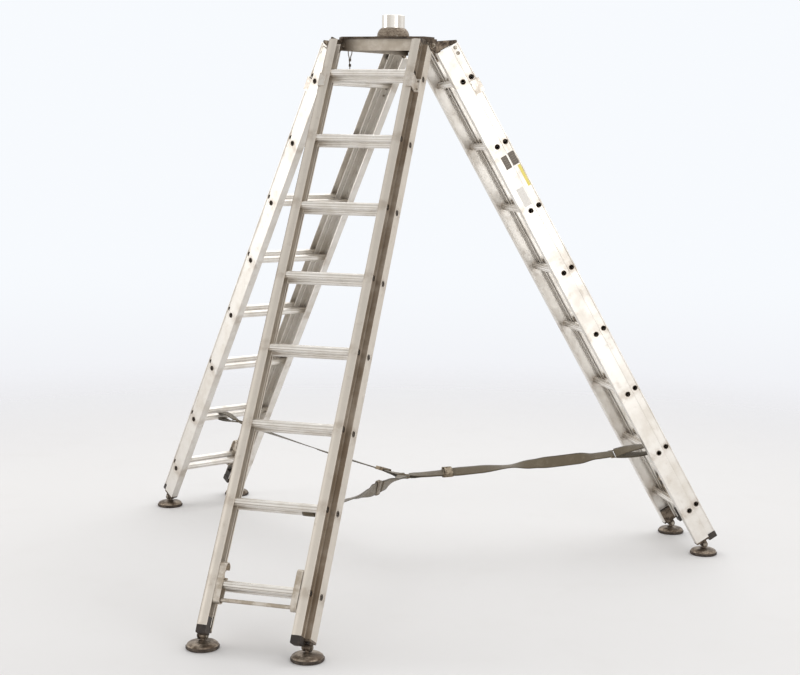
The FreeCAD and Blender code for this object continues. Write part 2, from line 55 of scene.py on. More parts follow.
# the stand's own layout, which the pieces and patterns below are placed by
stand = {
    "turns": {"leg1": 0, "leg2": 120, "leg3": 240},
    "lean": 30,
    "rungPitch": 304.8 * mm,
    "aboveRail": 36.6 * mm,
    "baseHalf": 217.5 * mm,
    "flyHalf": 196 * mm,
    "flyWebInset": 2.5 * mm,
    "baseRungOut": 34 * mm,
    "flyRungOut": 81 * mm,
    "rungRadius": 15 * mm,
}
hinge = Vector([j for j in frame["joints"] if j["name"] == "leg1_fold"][0]["pos_m"])
hinge.x = 0


def webFace(section):
    # how far from the ladder's middle the outer faces of a section's rails stand
    return stand["baseHalf"] if section == "Base" else stand["flyHalf"] - stand["flyWebInset"]


# camera

cameraView = {
    "location": (2.1514, -6.2363, 1.7681),
    "azimuth": -73.76,
    "elevation": 6.331,
    "roll": -1.074,
    "lens": 69.3414,
    "sensor": 36,
    "farClip": 60,
    "shift": (-0.080167, -0.019541),
}


def addCamera():
    azimuth = math.radians(cameraView["azimuth"])
    elevation = math.radians(cameraView["elevation"])
    flat = math.cos(elevation)
    back = Vector((flat * math.cos(azimuth), flat * math.sin(azimuth), math.sin(elevation)))
    level = Vector((0, 0, 1)).cross(back).normalized()
    upright = back.cross(level)
    turn = Matrix.Rotation(-math.radians(cameraView["roll"]), 3, back)
    right = turn @ level
    up = turn @ upright
    data = bpy.data.cameras.new("studioCamera")
    camera = bpy.data.objects.new("studioCamera", data)
    scene.collection.objects.link(camera)
    rotation = Matrix((right, up, back)).transposed().to_4x4()
    camera.matrix_world = Matrix.Translation(cameraView["location"]) @ rotation
    data.lens = cameraView["lens"]
    data.sensor_width = cameraView["sensor"]
    data.shift_x, data.shift_y = cameraView["shift"]
    data.clip_end = cameraView["farClip"]
    scene.camera = camera


addCamera()
scene.view_settings.view_transform = "Standard"
print("camera placed")


# shader maths

class Wire:
    # a shader value; sums and products of it add Math nodes
    def __init__(self, paint, socket):
        self.paint = paint
        self.socket = socket

    def __add__(self, other):
        return self.paint.math("ADD", self, other)

    def __radd__(self, other):
        return self.paint.math("ADD", other, self)

    def __sub__(self, other):
        return self.paint.math("SUBTRACT", self, other)

    def __rsub__(self, other):
        return self.paint.math("SUBTRACT", other, self)

    def __mul__(self, other):
        return self.paint.math("MULTIPLY", self, other)

    def __rmul__(self, other):
        return self.paint.math("MULTIPLY", other, self)

    def __truediv__(self, other):
        return self.paint.math("DIVIDE", self, other)


class Paint:
    # builds one node tree
    def __init__(self, tree):
        self.tree = tree
        tree.nodes.clear()

    def node(self, kind, settings=None, inputs=None, out=0):
        made = self.tree.nodes.new(kind)
        for key, value in (settings or {}).items():
            setattr(made, key, value)
        for key, value in (inputs or {}).items():
            socket = made.inputs[key]
            if isinstance(value, Wire):
                self.tree.links.new(value.socket, socket)
            else:
                socket.default_value = value
        return Wire(self, made.outputs[out]) if len(made.outputs) else made

    def math(self, operation, first, second=0.0):
        return self.node("ShaderNodeMath", {"operation": operation}, {0: first, 1: second})

    def ramp(self, value, low, high):
        # 0 below low, 1 above high, smooth between; low may be the larger
        return self.node(
            "ShaderNodeMapRange", {"interpolation_type": "SMOOTHSTEP"},
            {"Value": value, "From Min": low, "From Max": high},
        )

    def blend(self, factor, first, second):
        # a Mix node's colours are its sockets 6 and 7, and its colour output is 2
        return self.node("ShaderNodeMix", {"data_type": "RGBA"}, {0: factor, 6: first, 7: second}, 2)

    def spot(self):
        return self.node("ShaderNodeTexCoord", out="Object")

    def stretch(self, vector, scale):
        return self.node("ShaderNodeVectorMath", {"operation": "MULTIPLY"}, {0: vector, 1: scale})

    def parts(self, vector):
        made = self.node("ShaderNodeSeparateXYZ", inputs={0: vector})
        return [Wire(self, made.socket.node.outputs[k]) for k in range(3)]

    def speckle(self, vector, scale, detail=3.0, roughness=0.55):
        return self.node(
            "ShaderNodeTexNoise", {"noise_dimensions": "3D"},
            {"Vector": vector, "Scale": scale, "Detail": detail, "Roughness": roughness},
        )

    def surface(self, color, roughness, metallic=1.0, height=None, depth=1.0, fixed=None, alpha=1.0):
        inputs = {"Base Color": color, "Roughness": roughness, "Metallic": metallic, "Alpha": alpha}
        inputs.update(fixed or {})
        if height is not None:
            inputs["Normal"] = self.node(
                "ShaderNodeBump", inputs={"Height": height, "Strength": 1.0, "Distance": depth})
        shader = self.node("ShaderNodeBsdfPrincipled", inputs=inputs)
        self.node("ShaderNodeOutputMaterial", inputs={"Surface": shader})


def newPaint(name):
    material = bpy.data.materials.new(name)
    material.use_nodes = True
    return material, Paint(material.node_tree)


def tone(red, green, blue):
    # screen colour, 0 to 255, as the linear colour that shaders take
    return tuple((c / 255) ** 2.2 for c in (red, green, blue)) + (1.0,)


def legSpace(paint, leg):
    # x across the ladder, y into the stand, z up the ladder, from the hinge
    turned = paint.node(
        "ShaderNodeMapping",
        inputs={"Vector": paint.spot(), "Rotation": (0, 0, -math.radians(stand["turns"][leg]))},
    )
    moved = paint.node("ShaderNodeVectorMath", {"operation": "SUBTRACT"}, {0: turned, 1: tuple(hinge)})
    return paint.node(
        "ShaderNodeMapping", inputs={"Vector": moved, "Rotation": (math.radians(stand["lean"]), 0, 0)})


# metals

railLook = {
    "light": tone(224, 220, 214),
    "dullLight": tone(205, 198, 188),
    "stain": tone(166, 152, 136),
    # dark colour of the rails' nicks, and also of the painted shade in the front leg's recess
    "grimeAndShade": tone(130, 114, 96),
    # the front leg's rail tone, darker and warmer: painted shade
    "frontLegShadedTone": tone(216, 208, 197),
    "roughness": 0.4,
    "metallic": 0.8,
    "drawLines": (260.0, 260.0, 3.0),
    "drawDepth": 0.08 * mm,
    "nickLines": (60.0, 60.0, 420.0),
    "cloudScale": 5.0,
    "patchScale": 22.0,
    "dull": (0.42, 0.66),
    "worn": (0.56, 0.76),
    "wornStrength": 0.32,
    "nick": (0.70, 0.78),
    "nickStrength": 0.35,
    "besideRung": (0.12, 0.03),
    "handled": (0.34, 0.62),
    "handledStrength": 0.5,
    # where painted shade lies in the recess on the front leg: from low to high, across and out from the hinge
    # line
    "recessShadeBands": {
        "Fly": {"across": (0.1926, 0.1932), "out": (0.0975, 0.0945)},
        "Base": {"across": (0.1955, 0.1965), "out": (0.0562, 0.0568)},
    },
    # how the painted shade in the front leg's recess breaks up along the rail
    "shadeBreakup": (0.30, 0.62),
}


def railFinish(leg, section):
    material, paint = newPaint(leg + section + "Rail")
    local = legSpace(paint, leg)
    x, y, z = paint.parts(local)
    across = paint.math("ABSOLUTE", x)
    out = 0 - y
    lines = paint.speckle(paint.stretch(local, railLook["drawLines"]), 1.0, 3.0, 0.6)
    cloud = paint.speckle(local, railLook["cloudScale"], 5.0, 0.62)
    patch = paint.speckle(local, railLook["patchScale"], 4.0, 0.65)
    nicks = paint.speckle(paint.stretch(local, railLook["nickLines"]), 1.0, 2.0, 0.5)
    dull = paint.ramp(cloud, *railLook["dull"])
    worn = paint.ramp(patch, *railLook["worn"]) * railLook["wornStrength"]
    # dirt gathers round each rung
    step = paint.math("FRACT", (z + stand["aboveRail"]) / stand["rungPitch"])
    fromRung = paint.math("ABSOLUTE", step - 0.5)
    touched = paint.ramp(fromRung, *railLook["besideRung"]) * paint.ramp(patch, *railLook["handled"])
    handled = touched * railLook["handledStrength"]
    # painted shade: the front leg's rails take a darker, warmer copy of the rail tone
    light = railLook["frontLegShadedTone"] if leg == "leg1" else railLook["light"]
    color = paint.blend(dull * 0.75, light, railLook["dullLight"])
    color = paint.blend(paint.math("MAXIMUM", worn, handled), color, railLook["stain"])
    scratch = paint.ramp(nicks, *railLook["nick"])
    color = paint.blend(scratch * railLook["nickStrength"], color, railLook["grimeAndShade"])
    # painted shade: on the front leg, the fly's web and the base's flange beside it are darkened in the
    # recess between them
    if leg == "leg1":
        edges = railLook["recessShadeBands"][section]
        band = paint.ramp(across, *edges["across"]) * paint.ramp(out, *edges["out"])
        shadeBreakup = paint.ramp(cloud, *railLook["shadeBreakup"]) * 0.4 + lines * 0.5 + 0.3
        color = paint.blend(band * shadeBreakup, color, railLook["grimeAndShade"])
    roughness = lines * 0.14 + dull * 0.1 + worn * 0.2 + (railLook["roughness"] - 0.07)
    paint.surface(color, roughness, railLook["metallic"], lines + scratch * 0.6, railLook["drawDepth"])
    return material


rungLook = {
    "light": tone(240, 236, 230),
    "dull": tone(196, 186, 172),
    # dark of the flutes' grooves: painted shade
    "fluteShade": tone(146, 131, 113),
    # dark of the rung's hollow end: painted shade
    "end": tone(70, 59, 49),
    "flutes": 8,
    "fluteDepth": 1.4 * mm,
    "fluteShadePart": (0.30, 0.06),
    "drawLines": (5.0, 330.0, 330.0),
    "cloudScale": 11.0,
    "tread": (0.40, 0.68),
    "jointReach": (55 * mm, 4 * mm),
    "endMargin": 0.4 * mm,
    "endEdge": 0.3 * mm,
}


def rungFinish(leg, section):
    material, paint = newPaint(leg + section + "Rung")
    local = legSpace(paint, leg)
    x, y, z = paint.parts(local)
    rungOut = stand["baseRungOut"] if section == "Base" else stand["flyRungOut"]
    webOut = webFace(section) - rungLook["endMargin"]
    step = paint.math("FRACT", (z + stand["aboveRail"]) / stand["rungPitch"])
    rise = (step - 0.5) * stand["rungPitch"]
    angle = paint.math("ARCTAN2", rise, y + rungOut)
    flute = paint.math("ABSOLUTE", paint.math("SINE", angle * (rungLook["flutes"] / 2)))
    lines = paint.speckle(paint.stretch(local, rungLook["drawLines"]), 1.0, 3.0, 0.6)
    cloud = paint.speckle(local, rungLook["cloudScale"], 4.0, 0.6)
    across = paint.math("ABSOLUTE", x)
    tread = paint.ramp(cloud, *rungLook["tread"])
    joint = paint.ramp(across, *(webOut - reach for reach in rungLook["jointReach"])) * 0.55
    color = paint.blend(paint.math("MAXIMUM", tread * 0.4, joint), rungLook["light"], rungLook["dull"])
    # painted shade darkens the grooves between the flutes
    color = paint.blend(paint.ramp(flute, *rungLook["fluteShadePart"]) * 0.8, color, rungLook["fluteShade"])
    # painted shade: the rung's end past the rail's outer face is painted dark, as its hollow end looks
    color = paint.blend(paint.ramp(across, webOut, webOut + rungLook["endEdge"]), color, rungLook["end"])
    roughness = lines * 0.14 + tread * 0.12 + 0.22
    paint.surface(color, roughness, 0.9, flute + lines * 0.12, rungLook["fluteDepth"])
    return material


# pit is how deep the surface is pitted, and grain how fine its patches are
hardwareLook = {
    "zinc": {
        "light": tone(168, 160, 148), "dark": tone(92, 82, 70),
        "roughness": 0.38, "metallic": 0.9, "grain": 60.0, "pit": 0.12 * mm,
    },
    "lock": {
        "light": tone(212, 204, 193), "dark": tone(176, 164, 148),
        "roughness": 0.42, "metallic": 0.8, "grain": 26.0, "pit": 0.15 * mm,
    },
    "buckle": {
        "light": tone(138, 126, 108), "dark": tone(92, 80, 66),
        "roughness": 0.4, "metallic": 0.85, "grain": 70.0, "pit": 0.12 * mm,
    },
    "guide": {
        "light": tone(222, 216, 208), "dark": tone(196, 186, 174),
        "roughness": 0.4, "metallic": 0.8, "grain": 30.0, "pit": 0.1 * mm,
    },
    "corner": {
        "light": tone(104, 92, 80), "dark": tone(68, 58, 49),
        "roughness": 0.5, "metallic": 0.6, "grain": 22.0, "pit": 0.3 * mm,
    },
    "beam": {
        "light": tone(218, 210, 199), "dark": tone(188, 177, 162),
        "roughness": 0.4, "metallic": 0.82, "grain": 7.0, "pit": 0.18 * mm,
    },
    "plate": {
        "light": tone(92, 80, 69), "dark": tone(60, 51, 44),
        "roughness": 0.55, "metallic": 0.5, "grain": 26.0, "pit": 0.3 * mm,
    },
    "casting": {
        "light": tone(158, 145, 130), "dark": tone(112, 98, 84),
        "roughness": 0.55, "metallic": 0.55, "grain": 160.0, "pit": 0.6 * mm,
    },
    "bracket": {
        "light": tone(120, 108, 95), "dark": tone(60, 51, 44),
        "roughness": 0.45, "metallic": 0.75, "grain": 40.0, "pit": 0.2 * mm,
    },
}
hardwareWear = {
    "fine": 9,
    "scuffLines": (70.0, 70.0, 9.0),
    "dirt": (0.38, 0.64),
    "rub": (0.62, 0.74),
    "rubStrength": 0.5,
    # painted shade on the beams' ends by the hinges
    "beamEndShade": tone(88, 75, 62),
    "beamEndShadeReach": (0.150, 0.212),
    "beamEndShadeStrength": 0.85,
}


def hardwareFinish(name):
    look = hardwareLook[name]
    material, paint = newPaint(name + "Metal")
    spot = paint.spot()
    cloud = paint.speckle(spot, look["grain"], 5.0, 0.65)
    fine = paint.speckle(spot, look["grain"] * hardwareWear["fine"], 3.0, 0.6)
    scuff = paint.speckle(paint.stretch(spot, hardwareWear["scuffLines"]), 1.0, 4.0, 0.7)
    dirt = paint.ramp(cloud, *hardwareWear["dirt"])
    rub = paint.ramp(scuff, *hardwareWear["rub"])
    color = paint.blend(dirt, look["light"], look["dark"])
    color = paint.blend(rub * hardwareWear["rubStrength"], color, look["light"])
    if name == "beam":
        # painted shade: the beams are darker towards their ends, by the hinges
        x, y = paint.parts(spot)[:2]
        reach = paint.math("SQRT", x * x + y * y)
        endShade = paint.ramp(reach, *hardwareWear["beamEndShadeReach"]) * hardwareWear["beamEndShadeStrength"]
        color = paint.blend(endShade, color, hardwareWear["beamEndShade"])
    roughness = fine * 0.14 + dirt * 0.16 + (look["roughness"] - 0.1)
    paint.surface(color, roughness, look["metallic"], cloud * 0.7 + fine * 0.5, look["pit"])
    return material


spigotLook = {
    "light": tone(236, 232, 226),
    "dark": tone(176, 166, 154),
    "streaks": 7,
    "streakStart": 0.8,
    "drawLines": (300.0, 300.0, 9.0),
    "gripLines": (20.0, 20.0, 260.0),
    "scuff": (0.60, 0.72),
    "depth": 0.08 * mm,
}


def spigotFinish():
    # drawn steel tube: light and dark streaks run up it
    material, paint = newPaint("spigotSteel")
    spot = paint.spot()
    x, y = paint.parts(spot)[:2]
    angle = paint.math("ARCTAN2", y, x)
    swing = paint.math("SINE", angle * spigotLook["streaks"] + spigotLook["streakStart"])
    swing = swing * 0.5 + 0.5
    fine = paint.speckle(paint.stretch(spot, spigotLook["drawLines"]), 1.0, 3.0, 0.6)
    grip = paint.speckle(paint.stretch(spot, spigotLook["gripLines"]), 1.0, 3.0, 0.6)
    scuff = paint.ramp(grip, *spigotLook["scuff"])
    color = paint.blend(swing * 0.45 + scuff * 0.2, spigotLook["light"], spigotLook["dark"])
    paint.surface(color, fine * 0.12 + scuff * 0.15 + 0.12, 1.0, fine + scuff * 0.3, spigotLook["depth"])
    return material


plasticLook = {
    "light": tone(72, 62, 54),
    "dark": tone(40, 33, 28),
    "grain": 520.0,
    "chalkScale": 34.0,
    "chalk": (0.45, 0.7),
    "depth": 0.3 * mm,
}


def plasticFinish():
    material, paint = newPaint("mouldedPlastic")
    spot = paint.spot()
    grain = paint.speckle(spot, plasticLook["grain"], 3.0, 0.6)
    chalk = paint.ramp(paint.speckle(spot, plasticLook["chalkScale"], 5.0, 0.68), *plasticLook["chalk"])
    color = paint.blend(chalk * 0.8, plasticLook["dark"], plasticLook["light"])
    paint.surface(color, grain * 0.1 + chalk * 0.2 + 0.42, 0.0, grain, plasticLook["depth"])
    return material


footLook = {
    "rubber": tone(58, 49, 42),
    "dust": tone(116, 104, 92),
    "dome": tone(158, 145, 130),
    "domeWorn": tone(92, 80, 69),
    "rimHeight": 12.2 * mm,
    "rimEdge": 0.6 * mm,
    "grain": 420.0,
    "cloudScale": 30.0,
    "dusty": (0.42, 0.7),
    "scraped": (0.34, 0.62),
    "ribs": 1100,
    "depth": 0.5 * mm,
}


def footFinish():
    # a rubber pad under a pressed metal dome
    material, paint = newPaint("footPad")
    spot = paint.spot()
    z = paint.parts(spot)[2]
    metal = paint.ramp(z, footLook["rimHeight"], footLook["rimHeight"] + footLook["rimEdge"])
    grain = paint.speckle(spot, footLook["grain"], 3.0, 0.6)
    cloud = paint.speckle(spot, footLook["cloudScale"], 5.0, 0.65)
    dust = paint.ramp(cloud, *footLook["dusty"])
    rubber = paint.blend(dust * 0.65, footLook["rubber"], footLook["dust"])
    dome = paint.blend(paint.ramp(cloud, *footLook["scraped"]), footLook["dome"], footLook["domeWorn"])
    wave = paint.math("ABSOLUTE", paint.math("SINE", z * footLook["ribs"]))
    ribs = paint.ramp(wave, 0.2, 0.6) * (1 - metal)
    color = paint.blend(metal, rubber, dome)
    roughness = (1 - metal) * 0.38 + grain * 0.1 + dust * 0.1 + 0.34
    paint.surface(color, roughness, metal * 0.8, grain * 0.4 + ribs, footLook["depth"])
    return material


webbingLook = {
    "light": tone(118, 107, 88),
    "dark": tone(74, 65, 51),
    "edge": tone(58, 50, 39),
    "fade": tone(142, 131, 112),
    "rib": 2.4 * mm,
    "column": 3.6 * mm,
    "width": 50 * mm,
    "cloudScale": 16.0,
    "fuzzScale": 900.0,
    "faded": (0.52, 0.75),
    "selvedge": (0.40, 0.46),
    "depth": 0.4 * mm,
}


def webbingFinish():
    # the piece's own map is in metres: u along the strap, v across it
    material, paint = newPaint("strapWebbing")
    cloth = paint.node("ShaderNodeTexCoord", out="UV")
    u, v = paint.parts(cloth)[:2]
    rib = paint.math("SINE", u * (2 * math.pi / webbingLook["rib"]))
    column = paint.math("SINE", v * (2 * math.pi / webbingLook["column"]))
    weave = rib * column * 0.5 + 0.5
    cloud = paint.speckle(paint.spot(), webbingLook["cloudScale"], 5.0, 0.65)
    fuzz = paint.speckle(cloth, webbingLook["fuzzScale"], 3.0, 0.6)
    side = paint.math("ABSOLUTE", v / webbingLook["width"])
    selvedge = paint.ramp(side, *webbingLook["selvedge"])
    color = paint.blend(weave * 0.7 + fuzz * 0.3, webbingLook["dark"], webbingLook["light"])
    color = paint.blend(paint.ramp(cloud, *webbingLook["faded"]) * 0.45, color, webbingLook["fade"])
    color = paint.blend(selvedge * 0.7, color, webbingLook["edge"])
    sheen = {"Sheen Weight": 0.3, "Sheen Roughness": 0.4}
    paint.surface(color, 0.74 + fuzz * 0.14, 0.0, weave + fuzz * 0.4, webbingLook["depth"], sheen)
    return material


cordLook = {
    "light": tone(120, 104, 84),
    "dark": tone(62, 50, 38),
    "lay": 1240.0,
    "fuzzScale": 700.0,
    "depth": 0.3 * mm,
}


def cordFinish():
    material, paint = newPaint("lanyardBraid")
    spot = paint.spot()
    x, y, z = paint.parts(spot)
    lay = paint.math("SINE", (x + y + z) * cordLook["lay"]) * 0.5 + 0.5
    counter = paint.math("SINE", (z - x - y) * cordLook["lay"]) * 0.5 + 0.5
    fuzz = paint.speckle(spot, cordLook["fuzzScale"], 3.0, 0.6)
    braid = paint.math("MAXIMUM", lay, counter)
    color = paint.blend(braid * 0.6 + fuzz * 0.3, cordLook["dark"], cordLook["light"])
    sheen = {"Sheen Weight": 0.2}
    paint.surface(color, 0.7 + fuzz * 0.15, 0.0, braid + fuzz * 0.3, cordLook["depth"], sheen)
    return material


labelLook = {
    "ink": tone(90, 79, 67),
    "mark": tone(162, 152, 138),
    "yellow": tone(230, 212, 96),
    "film": tone(222, 218, 212),
    "rows": 38.0,
    "scuff": (0.5, 0.72),
    "depth": 0.08 * mm,
}


def labelFinish(name, ground, mark, marks):
    # printed film; the marks are plain bars, not lettering
    material, paint = newPaint(name)
    film = paint.node("ShaderNodeTexCoord", out="UV")
    u, v = paint.parts(film)[:2]
    scuff = paint.ramp(paint.speckle(film, 9.0, 5.0, 0.7), *labelLook["scuff"])
    rub = paint.speckle(film, 60.0, 3.0, 0.6)
    color = paint.blend(scuff * 0.5, ground, mark)
    if marks:
        row = paint.ramp(paint.math("SINE", u * labelLook["rows"]), 0.3, 0.7)
        broken = paint.ramp(paint.speckle(film, 14.0, 2.0), 0.46, 0.56)
        insideHeight = paint.ramp(v, 0.14, 0.2) * paint.ramp(v, 0.86, 0.8)
        insideWidth = paint.ramp(u, 0.08, 0.12) * paint.ramp(u, 0.92, 0.88)
        color = paint.blend(row * broken * (insideHeight * insideWidth) * 0.55, color, mark)
    paint.surface(color, rub * 0.2 + scuff * 0.15 + 0.3, 0.0, scuff * 0.6 + rub * 0.2, labelLook["depth"])
    return material


metals = {name: hardwareFinish(name) for name in hardwareLook}
webbing = webbingFinish()
print("finishes made")


# CAD pieces

def wear(nodeName, material):
    piece = nodes[nodeName]
    if not piece.material_slots:
        piece.data.materials.append(material)
    for holder in piece.material_slots:
        holder.material = material


plastic = plasticFinish()
footPad = footFinish()
legFinishes = {
    "hinge_plates": metals["bracket"],
    "end_plugs": plastic,
    "fly_fasteners": metals["zinc"],
    "guide_brackets": metals["guide"],
    "foot_brackets": metals["bracket"],
    "base_fasteners": metals["zinc"],
    "lock_levers": metals["lock"],
    "lock_rod": metals["lock"],
    "foot_right": footPad,
    "foot_left": footPad,
}
for leg in stand["turns"]:
    for section in ("Base", "Fly"):
        rail = railFinish(leg, section)
        stem = leg + "_" + section.lower()
        wear(stem + "_rail_right", rail)
        wear(stem + "_rail_left", rail)
        wear(stem + "_rungs", rungFinish(leg, section))
    for name, material in legFinishes.items():
        wear(leg + "_" + name, material)
headFinishes = {
    "head_beams": metals["beam"],
    "head_corners": metals["corner"],
    "head_bolts": metals["zinc"],
    "top_plate": metals["plate"],
    "mount_flange": metals["casting"],
    "mount_spigot": spigotFinish(),
    "lanyard_ferrules": metals["bracket"],
}
for name, material in headFinishes.items():
    wear(name, material)
print("CAD pieces finished")


# lanyard: two limp strands that hang from the front beam

# each route's points are across the stand and up from the hinges
lanyardStrands = {
    "depth": -0.115,
    "diameter": 0.004,
    "long": (
        (-0.158, -0.022), (-0.158, -0.038), (-0.1522, -0.054),
        (-0.1522, -0.072), (-0.1495, -0.090), (-0.151, -0.108),
    ),
    "short": ((-0.141, -0.022), (-0.141, -0.034), (-0.1478, -0.048), (-0.1478, -0.061)),
    "longLength": 0.0869,
    "shortLength": 0.0402,
}


def onLanyard(point):
    x, z = point
    return x, lanyardStrands["depth"], z + hinge.z


def lanyardCord(name, route, material):
    data = bpy.data.curves.new(name, "CURVE")
    data.dimensions = "3D"
    spline = data.splines.new("NURBS")
    spline.points.add(len(route) - 1)
    for point, place in zip(spline.points, route):
        point.co = (*onLanyard(place), 1)
    spline.order_u = 3
    spline.use_endpoint_u = True
    spline.resolution_u = 12
    data.bevel_depth = lanyardStrands["diameter"] / 2
    data.bevel_resolution = 4
    data.use_fill_caps = True
    data.materials.append(material)
    cord = bpy.data.objects.new(name, data)
    scene.collection.objects.link(cord)
    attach(cord, "head")
    return cord


braid = cordFinish()
longStrand = lanyardCord("lanyardLong", lanyardStrands["long"], braid)
shortStrand = lanyardCord("lanyardShort", lanyardStrands["short"], braid)
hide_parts("lanyard")
print("lanyard hung")


# straps

strap = {
    "width": 50 * mm,
    "thick": 2.2 * mm,
    "centre": Vector((71, 21, 356)) * mm,
    "ringRadius": 27 * mm,
    "ringWire": 5 * mm,
    "rung": 6,
    "sag": 9 * mm,
    "seats": {"leg1": 112 * mm, "leg2": -118 * mm, "leg3": 52 * mm},
    "slack": 26 * mm,
    "ripple": 0.6 * mm,
    "cup": 0.8 * mm,
    "flareShare": 0.08,
    "slideGap": 0.004,
    "firmPast": 0.05,
    "bendMargin": 20 * mm,
}
# rolls are the strap's twist in degrees at shares of its way from the ring; fold is how far
# the strap's end comes back from the ring, as a share; loop is how far in from the rung the
# loop starts, in metres; spread is how far the loop's two sides roll apart there, in degrees;
# buckle is where the cam buckle sits, as a share
strapShapes = {
    "leg1": {
        "rolls": (
            (0, 6), (0.08, 20), (0.2, 70), (0.36, 88),
            (0.46, 50), (0.6, 12), (0.8, 10), (1, 0),
        ),
        "fold": 0.26, "loop": 0.10, "spread": 0, "buckle": 0.30,
    },
    "leg2": {
        "rolls": (
            (0, 6), (0.1, 14), (0.2, 34), (0.28, 30), (0.41, 3),
            (0.5, 40), (0.6, 84), (0.68, 72), (0.76, 22), (1, 10),
        ),
        "fold": 0.13, "loop": 0.17, "spread": 38, "buckle": 0.15,
    },
    "leg3": {
        "rolls": ((0, 6), (0.12, 20), (0.3, 14), (0.6, 26), (0.84, 40), (1, 8)),
        "fold": 0.42, "loop": 0.12, "spread": 20, "buckle": 0.085,
    },
}


def legMatrix(leg):
    turn = Matrix.Rotation(math.radians(stand["turns"][leg]), 4, "Z")
    tilt = Matrix.Rotation(-math.radians(stand["lean"]), 4, "X")
    return turn @ Matrix.Translation(hinge) @ tilt


def legPoint(leg, x, out, z):
    return legMatrix(leg) @ Vector((x, -out, z))


def valueAt(table, share):
    # smooth way through (share, value) pairs
    for (low, first), (high, second) in zip(table, table[1:]):
        if share <= high:
            t = (share - low) / (high - low)
            return first + (second - first) * t * t * (3 - 2 * t)
    return table[-1][1]


def strapSeat(leg):
    z = -stand["aboveRail"] - stand["rungPitch"] * (strap["rung"] + 0.5)
    return legPoint(leg, strap["seats"][leg], stand["baseRungOut"], z)


def strapFrame(leg):
    seat = strapSeat(leg)
    along = (seat - strap["centre"]).normalized()
    start = strap["centre"] + along * strap["ringRadius"]
    across = Vector((0, 0, 1)).cross(along).normalized()
    return start, along, across, (seat - start).length


def armPoint(leg, share, lift):
    # a point on the strap, lifted off its middle line, and its own sideways direction
    start, along, across, length = strapFrame(leg)
    roll = math.radians(valueAt(strapShapes[leg]["rolls"], share))
    upward = along.cross(across)
    side = across * math.cos(roll) + upward * math.sin(roll)
    face = along.cross(side)
    droop = -4 * strap["sag"] * share * (1 - share)
    return start + along * (share * length) + Vector((0, 0, droop)) + face * lift, side


def ringFold(leg):
    # end of the strap, back to the ring, round its wire, and out along the strap
    start, along, across, length = strapFrame(leg)
    shape = strapShapes[leg]
    reach = strap["ringWire"] + strap["thick"] * 0.6
    pinch = reach / length * 3
    apart = strap["thick"] * 0.75
    flare = (reach - strap["thick"]) * 0.7
    way = []
    tailSteps = 16
    for k in range(tailSteps + 1):
        t = shape["fold"] + (pinch - shape["fold"]) * k / tailSteps
        near = 1 - (t - pinch) / (shape["fold"] - pinch)
        way.append(armPoint(leg, t, -apart - flare * near ** 6))
    upward = along.cross(across)
    ringSteps = 8
    for k in range(ringSteps + 1):
        angle = -math.pi / 2 - math.pi * k / ringSteps
        rim = along * (reach * math.cos(angle)) + upward * (reach * math.sin(angle))
        way.append((start + rim, across.copy()))
    end = 1 - shape["loop"] / length
    armSteps = 90
    for k in range(armSteps + 1):
        t = pinch + (end - pinch) * k / armSteps
        near = max(0.0, 1 - (t - pinch) / strap["flareShare"])
        way.append(armPoint(leg, t, apart + flare * near ** 3))
    return way


def rungLoop(leg):
    # from the slide buckle over the rung, round it and back under it
    _, along, across, _ = strapFrame(leg)
    axis = legMatrix(leg).to_3x3() @ Vector((1, 0, 0))
    if axis.dot(across) < 0:
        axis = -axis
    seat = strapSeat(leg)
    inward = -(along - axis * along.dot(axis)).normalized()
    upward = axis.cross(inward)
    if upward.z < 0:
        upward = -upward
    reach = stand["rungRadius"] + strap["thick"] * 0.5 + 0.4 * mm
    distance = strapShapes[leg]["loop"]
    touch = math.acos(reach / distance)
    # inward and upward from the rung's middle, and how near the buckle: 1 above, -1 below
    near = strap["thick"] * 0.9
    tangent = (reach * math.cos(touch), reach * math.sin(touch))
    route = []
    sideSteps = 10
    for k in range(sideSteps):
        t = k / sideSteps
        route.append((distance + (tangent[0] - distance) * t, near + (tangent[1] - near) * t, 1 - t))
    roundSteps = 18
    for k in range(roundSteps + 1):
        angle = touch + (2 * math.pi - 2 * touch) * k / roundSteps
        route.append((reach * math.cos(angle), reach * math.sin(angle), 0))
    for k in range(1, sideSteps + 1):
        t = k / sideSteps
        route.append((tangent[0] + (distance - tangent[0]) * t, -tangent[1] + (tangent[1] - near) * t, -t))
    way = []
    for a, b, slack in route:
        spread = 1 if slack > 0 else 0.85
        roll = math.radians(strapShapes[leg]["spread"]) * abs(slack) * spread
        lift = upward * (slack * (1 - abs(slack)) * strap["slack"])
        side = (axis * math.cos(roll) + upward * math.sin(roll)).normalized()
        way.append((seat + inward * a + upward * b + lift, side))
    return way


def ribbon(form, way, width):
    # adds a flat band to the bmesh along the way's points and sideways directions
    lengths = [0.0]
    for (first, _), (second, _) in zip(way, way[1:]):
        lengths.append(lengths[-1] + (second - first).length)
    before = set(form.verts)
    columns = 6
    bmesh.ops.create_grid(form, x_segments=len(way) - 1, y_segments=columns, size=0.5)
    fresh = [v for v in form.verts if v not in before]
    layer = form.loops.layers.uv.verify()
    marks = {}
    for vertex in fresh:
        row = round((vertex.co.x + 0.5) * (len(way) - 1))
        share = vertex.co.y
        point, side = way[row]
        ripple = noise.noise(Vector((lengths[row] * 9, share * 2, 3.1))) * strap["ripple"]
        cup = (abs(share) * 2) ** 2 * strap["cup"]
        ahead = way[min(row + 1, len(way) - 1)][0] - way[max(row - 1, 0)][0]
        face = ahead.cross(side).normalized()
        marks[vertex] = (lengths[row], share * width)
        vertex.co = point + side * (share * width) + face * (ripple - cup)
    for face in {f for v in fresh for f in v.link_faces}:
        face.smooth = True
        for corner in face.loops:
            corner[layer].uv = marks[corner.vert]


